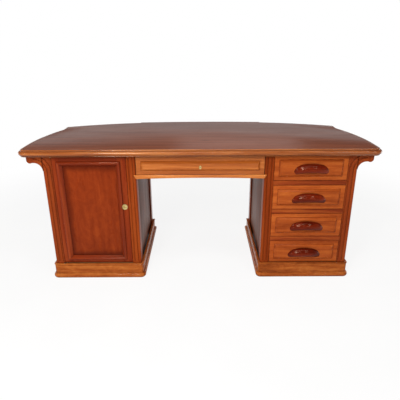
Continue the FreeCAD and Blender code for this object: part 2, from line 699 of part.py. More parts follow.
def escutcheon(z):
    """Oval plate with a keyhole, and the hole that goes on through the field and the front."""
    round_r = ESC_W / 2
    upper, lower = z + ESC_H / 2 - round_r, z - ESC_H / 2 + round_r
    outline = [(-round_r, lower), ((0, lower - round_r), (round_r, lower)),
               (round_r, upper), ((0, upper + round_r), (-round_r, upper))]
    plate = front_prism(outline, FIELD_Y - ESC_T, FIELD_Y)
    y0, y1 = FIELD_Y - ESC_T - OVERCUT, FACE + FRONT_T
    hole = Part.makeCylinder(KEYHOLE_R, y1 - y0, V(0, y0, z + KEYHOLE_R), AHEAD)
    slot = box(-KEYHOLE_R / 2, KEYHOLE_R / 2, y0, y1, z - 2 * KEYHOLE_R, z + KEYHOLE_R)
    keyhole = joined(hole, slot)
    return without(plate, [keyhole]), keyhole


def centre_lock(front_top):
    """Case behind the centre drawer's front, its withdrawn bolt, and the mortise over the bolt."""
    y0 = FACE + FRONT_T
    y1 = y0 + CASE_DEEP
    half_case = CENTRE_CASE_W / 2
    half_bolt = CENTRE_BOLT_W / 2
    half_room = half_bolt + RUN_GAP
    low = front_top - CENTRE_CASE_H
    room_low, room_y0, room_y1 = low + CASE_WALL, y0 + CASE_WALL, y1 - CASE_WALL
    bolt = box(-half_bolt, half_bolt, room_y0 + RUN_GAP, room_y1 - RUN_GAP, room_low + RUN_GAP, front_top)
    room = box(-half_room, half_room, room_y0, room_y1, room_low, front_top + OVERCUT)
    case = without(box(-half_case, half_case, y0, y1, low, front_top), [room])
    mortise = box(-half_room, half_room, room_y0, room_y1, OPEN_TOP - OVERCUT,
                  front_top + CENTRE_BOLT_TRAVEL + RUN_GAP)
    return case, bolt, mortise


# Door of the left pedestal, drawn on the right-hand side and flipped
def mould_rectangle():
    return (OPEN_IN + MARGIN_LOCK, OPEN_OUT - MARGIN_HINGE, SKIRT_H + MARGIN_BOTTOM, OPEN_TOP - MARGIN_TOP)


def door_frame(lock_bore):
    """Stiles, rails with tenons, and the panel that stands in their grooves."""
    x0, x1, z0, z1 = mould_rectangle()
    sight_x0, sight_x1 = x0 + MOULD_ON_FRAME, x1 - MOULD_ON_FRAME
    sight_z0, sight_z1 = z0 + MOULD_ON_FRAME, z1 - MOULD_ON_FRAME
    panel = box(sight_x0 - DOOR_GROOVE, sight_x1 + DOOR_GROOVE, FACE + DOOR_PANEL_SET,
                FACE + DOOR_PANEL_SET + DOOR_PANEL_T, sight_z0 - DOOR_GROOVE, sight_z1 + DOOR_GROOVE)
    tenon_y = FACE + DOOR_PANEL_SET
    rails = []
    for low, high in ((DOOR_LOW, sight_z0), (sight_z1, DOOR_HIGH)):
        body = box(sight_x0, sight_x1, FACE, DOOR_BACK, low, high)
        tenon = box(sight_x0 - DOOR_TENON, sight_x1 + DOOR_TENON, tenon_y, tenon_y + DOOR_TENON_T,
                    low + DOOR_GROOVE, high - DOOR_GROOVE)
        rails.append(without(joined(body, tenon), [panel]))
    stiles = [box(DOOR_IN, sight_x0, FACE, DOOR_BACK, DOOR_LOW, DOOR_HIGH),
              box(sight_x1, DOOR_OUT, FACE, DOOR_BACK, DOOR_LOW, DOOR_HIGH)]
    stiles = [without(stile, [panel, lock_bore] + rails) for stile in stiles]
    return stiles, rails, panel


def mould_outline():
    """Bolection section: inwards from its outer edge, and outwards from the door face."""
    step = -DOOR_PANEL_SET
    rise = MOULD_PROUD - MOULD_EDGE
    fall = MOULD_PROUD - MOULD_SHOULDER_OUT
    half = math.sin(math.radians(45))
    outer_mid = (MOULD_CROWN * (1 - half), MOULD_EDGE + rise * half)
    inner_mid = (MOULD_CROWN + (MOULD_SHOULDER - MOULD_CROWN) * half, MOULD_SHOULDER_OUT + fall * half)
    return [
        (0, 0), (0, MOULD_EDGE), (outer_mid, (MOULD_CROWN, MOULD_PROUD)),
        (inner_mid, (MOULD_SHOULDER, MOULD_SHOULDER_OUT)),
        (MOULD_W, step + MOULD_EDGE), (MOULD_W, step), (MOULD_ON_FRAME, step), (MOULD_ON_FRAME, 0)]


def door_moulding(ring_room):
    """Four lengths mitred round the panel."""
    x0, x1, z0, z1 = mould_rectangle()
    corners = [(x0, z0), (x1, z0), (x1, z1), (x0, z1)]
    lengths = []
    for index, (ax, az) in enumerate(corners):
        bx, bz = corners[(index + 1) % 4]
        along = V(bx - ax, 0, bz - az)
        size = along.Length
        along.normalize()
        inward = V(-along.z, 0, along.x)
        start = V(ax, FACE, az)
        face = drawn(mould_outline(), lambda p: start + inward * p[0] - AHEAD * p[1])
        run = face.extrude(along * size)
        run = trimmed(run, start, (along - inward).normalize())
        run = trimmed(run, V(bx, FACE, bz), (along + inward).normalize() * -1)
        lengths.append(without(run, [ring_room]))
    return lengths


def pivot_plate(z0, z1):
    front = FACE + PLATE_SET
    leaf = box(PIVOT_X - PLATE_L, PIVOT_X, front, front + PLATE_W, z0, z1)
    arm = box(PIVOT_X - EAR_R, PIVOT_X, PIVOT_Y, front, z0, z1)
    ear = Part.makeCylinder(EAR_R, z1 - z0, V(PIVOT_X, PIVOT_Y, z0))
    return joined(leaf, arm, ear)


def pivots():
    """Plates fixed to the carcass, each with its pin, and the bored plates on the door."""
    fixed = []
    moving = []
    bore_r = PIN_R + PIN_GAP
    for carcass_z, door_z, side in ((SKIRT_H, DOOR_LOW, 1), (OPEN_TOP, DOOR_HIGH, -1)):
        plate_end = carcass_z + side * PLATE_T
        plate = pivot_plate(min(carcass_z, plate_end), max(carcass_z, plate_end))
        pin = Part.makeCylinder(PIN_R, abs(door_z - plate_end), V(PIVOT_X, PIVOT_Y, min(plate_end, door_z)))
        fixed.append(joined(plate, pin))
        leaf_end = door_z - side * PLATE_T
        leaf = pivot_plate(min(door_z, leaf_end), max(door_z, leaf_end))
        bore = Part.makeCylinder(bore_r, HINGE_SPACE, V(PIVOT_X, PIVOT_Y, min(carcass_z, door_z)))
        moving.append(without(leaf, [bore]))
    return fixed, moving


def round_bar(radius, y0, y1, x=LOCK_X, z=LOCK_Z):
    return Part.makeCylinder(radius, y1 - y0, V(x, y0, z), AHEAD)


def door_lock():
    """Ring with its barrel, keyed plug with a cam pin, case, bolt and the mortise for the bolt."""
    bore_r = PLUG_R + PIN_GAP
    ring = joined(round_bar(RING_R, FACE - RING_T, FACE), round_bar(BARREL_R, FACE, DOOR_BACK))
    ring = without(ring, [round_bar(bore_r, FACE - RING_T - OVERCUT, DOOR_BACK + OVERCUT)])

    plug_face = FACE - RING_T + PLUG_SET
    plug_back = DOOR_BACK + CASE_WALL + RUN_GAP
    bolt_y0, bolt_y1 = plug_back + RUN_GAP, DOOR_BACK + CASE_DEEP - CASE_WALL - RUN_GAP
    cam_x, cam_z = LOCK_X + CAM_SHIFT, LOCK_Z + CAM_SHIFT
    plug = round_bar(PLUG_R, plug_face, plug_back)
    key = box(LOCK_X - KEY_W / 2, LOCK_X + KEY_W / 2, plug_face, plug_face + KEY_DEEP,
              LOCK_Z - KEY_H / 2, LOCK_Z + KEY_H / 2)
    plug = joined(without(plug, [key]), round_bar(CAM_PIN_R, plug_back, bolt_y1 - RUN_GAP, cam_x, cam_z))

    half = BOLT_H / 2
    bolt = box(DOOR_IN + BOLT_SET, LOCK_X + BOLT_TAIL, bolt_y0, bolt_y1, LOCK_Z - half, LOCK_Z + half)
    slot_r = CAM_PIN_R + CAM_GAP
    slot = box(cam_x - slot_r, cam_x + slot_r, bolt_y0 - OVERCUT, bolt_y1 + OVERCUT,
               cam_z - slot_r, LOCK_Z + CAM_R + slot_r)
    bolt = without(bolt, [slot])

    case_edge = DOOR_IN + CASE_EDGE
    case_low = half + RUN_GAP
    shell = box(case_edge, LOCK_X + CASE_REACH, DOOR_BACK, DOOR_BACK + CASE_DEEP,
                LOCK_Z - case_low - CASE_WALL, LOCK_Z + case_low + CASE_WALL)
    room = box(case_edge + CASE_WALL, LOCK_X + CASE_REACH - CASE_WALL, DOOR_BACK + CASE_WALL,
               DOOR_BACK + CASE_DEEP - CASE_WALL, LOCK_Z - case_low, LOCK_Z + case_low)
    mouth = box(case_edge - OVERCUT, case_edge + CASE_WALL + OVERCUT, bolt_y0 - RUN_GAP, bolt_y1 + RUN_GAP,
                LOCK_Z - case_low, LOCK_Z + case_low)
    plug_hole = round_bar(PLUG_R + RUN_GAP, DOOR_BACK - OVERCUT, DOOR_BACK + CASE_WALL + OVERCUT)
    case = without(shell, [room, mouth, plug_hole])

    thrown = DOOR_IN + BOLT_SET - 2 * CAM_SHIFT
    mortise = box(thrown - MORTISE_SPARE, OPEN_IN + OVERCUT, bolt_y0 - RUN_GAP, bolt_y1 + RUN_GAP,
                  LOCK_Z - case_low, LOCK_Z + case_low)
    return {"ring": ring, "plug": plug, "bolt": bolt, "case": case, "mortise": mortise,
            "bore": round_bar(BARREL_R + BARREL_GAP, FACE - OVERCUT, DOOR_BACK + OVERCUT),
            "ring_room": round_bar(RING_R + RUN_GAP, FACE - MOULD_PROUD - OVERCUT, FACE)}


# Cupboard shelf
def shelf_pieces():
    """Shelf, its four pegs, and the cutters for the pegs' holes."""
    y0, y1 = FACE + POST_D + SHELF_SET, REAR_OUT_Y - SHELF_SET
    shelf = box(INNER_WALL + SHELF_GAP, OUTER_WALL - SHELF_GAP, y0, y1, SHELF_Z, SHELF_Z + SHELF_T)
    pegs = []
    for x in (INNER_WALL - PEG_IN, OUTER_WALL - PEG_OUT):
        for y in (y0 + PEG_INSET, y1 - PEG_INSET):
            pegs.append(Part.makeCylinder(PEG_R, PEG_IN + PEG_OUT, V(x, y, SHELF_Z - PEG_R), V(1, 0, 0)))
    return shelf, pegs


# The whole desk
def desk():
    nodes = {}
    knee_rail, knee_tenons = kneehole_rail()
    rear_rail_y = rear_y(INNER_X) - REAR_RAIL_SET - REAR_RAIL_T
    rear_rail, rear_tenons = rail(-INNER_X, INNER_X, rear_rail_y, rear_rail_y + REAR_RAIL_T,
                                  CENTRE_LOW, TOP_Z)
    top_rail, top_tenons = rail(OPEN_IN, OPEN_OUT, FACE, FACE + RAIL_D, OPEN_TOP, TOP_Z)
    centre_rail, centre_tenons = rail(-INNER_X, INNER_X, FACE, FACE + RAIL_D, OPEN_TOP, TOP_Z)
    shared = knee_tenons + rear_tenons + top_tenons + centre_tenons
    lock = door_lock()

    dividers = []
    divider_tenons = []
    for index in range(1, DRAWER_COUNT):
        low = OPEN_TOP - PITCH * index
        divider, ends = rail(OPEN_IN, OPEN_OUT, FACE, FACE + RAIL_D, low, low + DIVIDER_H)
        dividers.append(divider)
        divider_tenons += ends

    shelf, pegs = shelf_pieces()
    left = pedestal(shared + [lock["mortise"]])
    right = pedestal(shared + divider_tenons)
    for side in ("inner_panel", "outer_panel"):
        left[side] = without(left[side], pegs)

    centre_front_top = OPEN_TOP - DRAWER_GAP
    centre_case, centre_bolt, centre_mortise = centre_lock(centre_front_top)
    screws = [flip(s) for s in left["screws"]] + right["screws"]
    nodes["top_board"] = [top_board(screws)]
    front, side, back_return, rear, rear_middle = edging_runs(edging_outline())
    nodes["top_edging_front"] = [front]
    nodes["top_edging_sides"] = [side, flip(side), back_return, flip(back_return)]
    nodes["top_edging_rear"] = [rear, flip(rear), rear_middle]
    nodes["top_fixing_blocks"] = [flip(b) for b in left["blocks"]] + right["blocks"]
    nodes["top_fixing_screws"] = screws

    for name in ("front_outer_post", "front_inner_post", "outer_panel", "inner_panel"):
        nodes["left_" + name] = [flip(left[name])]
        nodes["right_" + name] = [right[name]]
    nodes["rear_posts"] = [flip(left["rear_inner_post"]), flip(left["rear_outer_post"]),
                           right["rear_inner_post"], right["rear_outer_post"]]
    nodes["back_panels"] = [flip(left["back_panel"]), right["back_panel"]]
    nodes["bottom_boards"] = [flip(left["bottom_board"]), right["bottom_board"]]
    nodes["corbels"] = [flip(left["corbel"]), right["corbel"]]
    nodes["left_skirting"] = [flip(s) for s in left["skirting"]]
    nodes["right_skirting"] = right["skirting"]
    nodes["front_top_rails"] = [flip(top_rail), without(centre_rail, [centre_mortise]), top_rail]
    nodes["kneehole_rail"] = [knee_rail]
    nodes["rear_rail"] = [rear_rail]
    nodes["drawer_dividers"] = dividers
    nodes["drawer_runners"] = runners()
    nodes["centre_drawer_runners"] = centre_runners()
    nodes["cupboard_shelf"] = [flip(shelf)]
    nodes["shelf_pegs"] = [flip(p) for p in pegs]

    stiles, rails, panel = door_frame(lock["bore"])
    fixed_plates, door_plates = pivots()
    nodes["door_stiles"] = [flip(s) for s in stiles]
    nodes["door_rails"] = [flip(r) for r in rails]
    nodes["door_panel"] = [flip(panel)]
    nodes["door_moulding"] = [flip(m) for m in door_moulding(lock["ring_room"])]
    nodes["hinge_carcass_plates"] = [flip(p) for p in fixed_plates]
    nodes["hinge_door_plates"] = [flip(p) for p in door_plates]
    for name in ("ring", "case", "plug", "bolt"):
        nodes["lock_" + name] = [flip(lock[name])]

    x0, x1 = OPEN_IN + DRAWER_GAP, OPEN_OUT - DRAWER_GAP
    drawer_rear = REAR_OUT_Y - DRAWER_BACK_GAP
    for index in range(DRAWER_COUNT):
        high = OPEN_TOP - PITCH * index
        low = high - PITCH + DIVIDER_H
        name = "drawer_%d_" % (index + 1)
        board, drawer_box = drawer(x0, x1, low + DRAWER_GAP, high - DRAWER_GAP, low, drawer_rear)
        nodes[name + "front"] = [board]
        nodes[name + "box"] = drawer_box
        nodes[name + "field"] = [raised_field(OPEN_IN + FIELD_MARGIN_X, OPEN_OUT - FIELD_MARGIN_X,
                                              low + FIELD_MARGIN_Z, high - FIELD_MARGIN_Z)]
        nodes[name + "pull"] = [pull((OPEN_IN + OPEN_OUT) / 2, (low + high) / 2)]

    edge = INNER_X - DRAWER_GAP
    board, drawer_box = drawer(-edge, edge, CENTRE_LOW + DRAWER_GAP, centre_front_top, CENTRE_LOW,
                               rear_rail_y - CENTRE_BACK_GAP)
    field_low, field_high = CENTRE_LOW + FIELD_MARGIN_Z, OPEN_TOP - CENTRE_TOP_MARGIN
    plate, keyhole = escutcheon((field_low + field_high) / 2 - ESC_DROP)
    field = raised_field(FIELD_MARGIN_X - INNER_X, INNER_X - FIELD_MARGIN_X, field_low, field_high)
    nodes["centre_drawer_front"] = [without(board, [keyhole])]
    nodes["centre_drawer_box"] = drawer_box
    nodes["centre_drawer_field"] = [without(field, [keyhole])]
    nodes["centre_drawer_escutcheon"] = [plate]
    nodes["centre_lock_case"] = [centre_case]
    nodes["centre_lock_bolt"] = [centre_bolt]
    return nodes


os.makedirs("parts", exist_ok=True)
for node, solids in desk().items():
    whole = solids[0] if len(solids) == 1 else Part.makeCompound(solids)
    whole.exportStep("parts/%s.step" % node)
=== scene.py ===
import json
import math

import bmesh
import bpy
from mathutils import Euler, Matrix, Vector

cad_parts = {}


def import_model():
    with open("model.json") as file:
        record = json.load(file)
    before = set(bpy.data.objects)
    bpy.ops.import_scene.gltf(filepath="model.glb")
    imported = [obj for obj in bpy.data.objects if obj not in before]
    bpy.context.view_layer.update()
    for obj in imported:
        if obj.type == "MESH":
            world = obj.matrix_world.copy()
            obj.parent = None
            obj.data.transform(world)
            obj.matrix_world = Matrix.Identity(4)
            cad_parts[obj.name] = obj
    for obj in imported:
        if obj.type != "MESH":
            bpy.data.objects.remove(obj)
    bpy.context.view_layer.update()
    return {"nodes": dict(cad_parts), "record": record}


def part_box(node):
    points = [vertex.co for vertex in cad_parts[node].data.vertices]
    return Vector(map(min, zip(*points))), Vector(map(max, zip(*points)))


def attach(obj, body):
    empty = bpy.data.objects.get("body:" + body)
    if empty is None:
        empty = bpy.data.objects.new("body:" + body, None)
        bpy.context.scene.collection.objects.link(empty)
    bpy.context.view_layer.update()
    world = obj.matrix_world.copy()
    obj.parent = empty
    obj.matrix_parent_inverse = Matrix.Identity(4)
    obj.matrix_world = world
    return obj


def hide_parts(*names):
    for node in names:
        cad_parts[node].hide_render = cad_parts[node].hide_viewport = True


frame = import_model()
scene = bpy.context.scene
nodes = frame["nodes"]
body_of = {name: body for body, names in frame["record"]["behaviour"]["bodies"].items() for name in names}

DRAWERS = ["drawer_%d_" % number for number in range(1, 5)]
WHITE = (1.0, 1.0, 1.0, 1.0)

# Camera, fitted to the straight edges of the desk in the photograph
CAMERA_AT = (0.0039, -2.4942, 1.3232)
CAMERA_PITCH = 21.37       # degrees below level
CAMERA_YAW = -0.0009       # radians
CAMERA_ROLL = -0.0044      # radians
CAMERA_LENS = 37.39        # mm
CAMERA_SENSOR = 36.0       # mm
CAMERA_SHIFT_X = -0.0036

# World and floor
SKY_LEVEL = 0.22           # light from all round, where white is 1
BACKDROP_LOW = 0.08        # reflected rays that rise less than this share of their length see plain white
BACKDROP_HIGH = 0.26       # and those that rise more than this see none of it
FLOOR_HALF = 14.0
FLOOR_TONES = ((240, 240, 239), (247, 247, 246))
FLOOR_CLOUD_RANGE = (0.3, 0.7)
FLOOR_WHITE_NEAR = 0.86    # share of plain white near the desk, where the rest shows the shadow
FLOOR_SHADE_IN = 1.5       # that share holds up to here from the middle
FLOOR_SHADE_OUT = 2.8      # and the floor is all white from here on

# Lamps: name, place, point that it faces, width and height in metres, watts, tint
NEUTRAL = (1.0, 1.0, 1.0)
WARM = (1.0, 0.97, 0.93)
LAMPS = [
    ("key", (-0.3, -2.7, 2.5), (-0.1, -0.35, 0.5), 1.6, 0.32, 24.0, WARM),
    ("flash", (-0.9, -2.6, 1.75), (0.0, -0.35, 0.5), 0.50, 0.50, 32.0, NEUTRAL),
    ("window", (-1.9, -2.0, 1.4), (0.3, -0.3, 0.5), 0.20, 0.24, 5.0, NEUTRAL),
    ("side", (1.7, -2.3, 2.1), (0.6, -0.35, 0.45), 0.7, 0.3, 12.0, NEUTRAL),
    ("ceiling", (0.0, -1.3, 2.7), (0.0, -0.5, 0.6), 2.6, 0.5, 18.0, WARM),
    ("rear", (0.4, 2.8, 2.4), (0.0, 0.2, 0.4), 1.8, 1.2, 12.0, NEUTRAL),
]
# Fill lamps for the sides and the back, lower than the top so that it doesn't mirror them
for hand, side in (("left", -1), ("right", 1)):
    LAMPS += [
        (hand + "_fill", (side * 3.2, 0.3, 0.4), (side * 0.8, 0.0, 0.4), 1.6, 0.6, 14.0, NEUTRAL),
        (hand + "_rear_fill", (side * 1.7, 3.0, 0.4), (side * 0.6, 0.2, 0.4), 0.9, 0.6, 9.0, NEUTRAL),
    ]

# Eased edges of the boards
EASE = 0.0007
EASE_STEPS = 2
EASE_PROFILE = 0.6         # where 0.5 is a round
WELD = 1e-6                # corners nearer than this are one corner
SHARP = math.radians(32)   # edges that turn more than this are eased
FLAT = math.radians(0.05)  # faces that turn less than this are one face
SMOOTH = math.radians(21)  # faces that turn less than this are shaded as one

MIDDLE_TONE = 0.5          # where 0 is the dark tone and 1 the light one

# Sockets of Blender's Mix node: first, second and result
MIX_SOCKETS = {"VECTOR": (4, 5, 1), "RGBA": (6, 7, 2)}


def colour(red, green, blue):
    """Linear colour from the 0 to 255 values that a screen shows."""
    linear = []
    for value in (red, green, blue):
        share = value / 255
        linear.append(share / 12.92 if share <= 0.04045 else ((share + 0.055) / 1.055) ** 2.4)
    return (*linear, 1.0)


def tinted(shade, tint):
    return (shade[0] * tint[0], shade[1] * tint[1], shade[2] * tint[2], 1.0)


class Nodes:
    """The node tree of a material or a world, with short calls for the nodes that it is made of."""

    EDGE_SAMPLES = 4
    EDGE_RANGE = (0.995, 0.75)      # cosine of the turn of the normal, from no edge to a sharp one
    HOLLOW_SAMPLES = 8
    HOLLOW_RANGE = (0.88, 0.42)     # open share of the sky, from no hollow to a deep one

    def __init__(self, owner):
        owner.use_nodes = True
        self.owner = owner
        self.tree = owner.node_tree
        self.tree.nodes.clear()

    def node(self, kind, inputs=None, **settings):
        node = self.tree.nodes.new(kind)
        for key, value in settings.items():
            setattr(node, key, value)
        for key, value in (inputs or {}).items():
            self.feed(node.inputs[key], value)
        return node

    def feed(self, socket, value):
        if isinstance(value, bpy.types.NodeSocket):
            self.tree.links.new(value, socket)
        else:
            socket.default_value = value

    def math(self, operation, first, second=0.0, clamp=False):
        node = self.node("ShaderNodeMath", {0: first, 1: second}, operation=operation, use_clamp=clamp)
        return node.outputs[0]

    def times(self, first, second):
        return self.math("MULTIPLY", first, second)

    def total(self, *weighted):
        """Sum of (value, weight) pairs."""
        value, weight = weighted[0]
        result = self.times(value, weight)
        for value, weight in weighted[1:]:
            result = self.math("ADD", result, self.times(value, weight))
        return result

    def blend(self, share, first, second, kind="RGBA"):
        first_socket, second_socket, result = MIX_SOCKETS[kind]
        inputs = {0: share, first_socket: first, second_socket: second}
        return self.node("ShaderNodeMix", inputs, data_type=kind, clamp_factor=True).outputs[result]

    def ramp(self, value, low, high, start=0.0, end=1.0):
        node = self.node("ShaderNodeMapRange", {0: value, 1: low, 2: high, 3: start, 4: end},
                         interpolation_type="SMOOTHSTEP")
        return node.outputs[0]

    def tones(self, value, dark, middle, light):
        node = self.node("ShaderNodeValToRGB", {0: value})
        node.color_ramp.elements[0].color = dark
        node.color_ramp.elements[1].color = light
        node.color_ramp.elements.new(MIDDLE_TONE).color = middle
        return node.outputs[0]

    def noise(self, vector, scale=1.0, detail=2.0, rough=0.5, twist=0.0):
        node = self.node("ShaderNodeTexNoise", {"Vector": vector, "Scale": scale, "Detail": detail,
                                                "Roughness": rough, "Distortion": twist})
        return node.outputs[0]

    def stretched(self, vector, scale, shift):
        node = self.node("ShaderNodeMapping", {"Vector": vector, "Scale": scale, "Location": shift})
        return node.outputs[0]

    def place(self):
        return self.node("ShaderNodeTexCoord").outputs["Object"]

    def parts(self, vector):
        return self.node("ShaderNodeSeparateXYZ", {0: vector}).outputs

    def edges(self, radius):
        """Normal rounded over the edges, and how near a sharp edge the point is."""
        rounded = self.node("ShaderNodeBevel", {"Radius": radius}, samples=self.EDGE_SAMPLES).outputs[0]
        true = self.node("ShaderNodeNewGeometry").outputs["Normal"]
        dot = self.node("ShaderNodeVectorMath", {0: rounded, 1: true}, operation="DOT_PRODUCT")
        return rounded, self.ramp(dot.outputs["Value"], *self.EDGE_RANGE)

    def hollows(self, reach):
        """How deep in a corner or groove the point is."""
        open_sky = self.node("ShaderNodeAmbientOcclusion", {"Distance": reach}, samples=self.HOLLOW_SAMPLES)
        return self.ramp(open_sky.outputs["AO"], *self.HOLLOW_RANGE)

    def bump(self, height, strength, distance, normal):
        node = self.node("ShaderNodeBump", {"Height": height, "Strength": strength, "Distance": distance,
                                            "Normal": normal})
        return node.outputs[0]

    def surface(self, **inputs):
        shader = self.node("ShaderNodeBsdfPrincipled")
        for key, value in inputs.items():
            self.feed(shader.inputs[key.replace("_", " ")], value)
        self.output(shader.outputs[0])
        return self.owner

    def output(self, result, kind="ShaderNodeOutputMaterial"):
        self.node(kind, {0: result})


def seeded(step, seed):
    """How far a seed shifts a pattern along each axis."""
    return tuple(seed * length for length in step)


# Wood: scale of each layer along the grain and across it
DRIFT_SCALE = (0.9, 4.0, 4.0)
BANDS_SCALE = (1.8, 30.0, 30.0)
RINGS_SCALE = (0.6, 9.0, 9.0)
FIBRES_SCALE = (9.0, 260.0, 260.0)
PORES_SCALE = (42.0, 900.0, 900.0)
PATCHES_SCALE = (14.0, 24.0, 24.0)
FLECKS_SCALE = (2.6, 9.0, 9.0)
SMEAR_SCALE = (4.0, 11.0, 11.0)
RINGS_WAVE = {"Scale": 1.6, "Distortion": 5.0, "Detail": 3.0, "Detail Scale": 1.2}
WOOD_SEED_STEP = (1.37, 2.11, 3.73)

# Wood: values between which a layer goes from none to full
BANDS_RANGE = (0.34, 0.66)
DRIFT_RANGE = (0.30, 0.70)
PORES_RANGE = (0.64, 0.76)
FLECKS_RANGE = (0.14, 0.05)
FLECKS_AMONG = (0.54, 0.64)         # flecks show only where the drift is high
WORN_RANGE = (0.42, 0.70)
SMEAR_RANGE = (0.25, 0.75)

# Wood: weight of each layer in the streaks, and their usual sum
BANDS_WEIGHT = 0.56
RINGS_WEIGHT = 0.18
DRIFT_WEIGHT = 0.34
FIBRES_WEIGHT = 0.60
STREAK_MIDDLE = 0.84
PATCHES_MIDDLE = 0.5

# Wood: strength of the marks, and what they do to the dark or the light tone
PORE_STRENGTH = 0.45
FLECK_STRENGTH = 0.7
FLECK_TINT = (0.35, 0.3, 0.3)
BORDER_WIDTH = 0.008
BORDER_STRENGTH = 0.75              # of the dirt and painted shade
POLISH_TINT = (0.55, 0.45, 0.40)    # for the painted shade along edges and on the door's panel, both partly dark polish
# Paler tone of the edges, partly rubbed by use and partly painted highlights
WORN_TINT = (1.5, 1.6, 1.7)
HOLLOW_REACH = 0.022
# Tone of the painted shade in hollows and corners, which is partly dark polish
HOLLOW_TINT = (0.30, 0.22, 0.20)

# Wood: surface
SHELLAC = (1.0, 0.70, 0.48, 1.0)    # amber tint that the polish gives to reflections
MARKS_ROUGH = 0.14                  # pores and pale edges are rougher by this
FIBRE_HEIGHT = 0.5                  # where a pore's depth is 1
WOOD_BUMP = 0.10
WOOD_BUMP_DEPTH = 0.0006
WOOD_COAT_ROUGH = 0.07

# Dark polish and painted shadow of the moulding on the door's panel, with a ragged limit
POLISH_IN = 0.032                   # dark up to here from the edge of the panel
POLISH_OUT = 0.072                  # and clean from here on
POLISH_RAGGED = 0.03

GRAIN_ORDER = {"x": (0, 1, 2), "y": (1, 0, 2), "z": (2, 0, 1)}


def along_grain(shader, place, grain):
    """The place with its first axis turned along the grain."""
    parts = shader.parts(place)
    order = GRAIN_ORDER[grain]
    return shader.node("ShaderNodeCombineXYZ", {i: parts[order[i]] for i in range(3)}).outputs[0]


def mitred_grain(shader, place, box, flat, upright):
    """Grain of a mitred frame, with lengths along the flat axis and lengths along the upright axis."""
    parts = shader.parts(place)
    reach = []
    for axis in ("xyz".index(flat), "xyz".index(upright)):
        middle = (box[0][axis] + box[1][axis]) / 2
        half = (box[1][axis] - box[0][axis]) / 2
        off = shader.math("ABSOLUTE", shader.math("SUBTRACT", parts[axis], middle))
        reach.append(shader.math("SUBTRACT", off, half))
    on_upright = shader.math("GREATER_THAN", reach[0], reach[1])
    along = [along_grain(shader, place, axis) for axis in (flat, upright)]
    return shader.blend(on_upright, along[0], along[1], "VECTOR")


def old_polish(shader, place, box):
    """Dark polish and painted shadow of the moulding along three sides of the door's panel; the side by the
    lock is left light.
    """
    across, _, up = shader.parts(place)
    near = shader.math("SUBTRACT", across, box[0][0])
    near = shader.math("MINIMUM", near, shader.math("SUBTRACT", up, box[0][2]))
    near = shader.math("MINIMUM", near, shader.math("SUBTRACT", box[1][2], up))
    cloud = shader.noise(place, scale=22.0, detail=4.0, rough=0.6)
    ragged = shader.total((near, 1.0), (cloud, POLISH_RAGGED))
    return shader.ramp(ragged, POLISH_OUT, POLISH_IN)


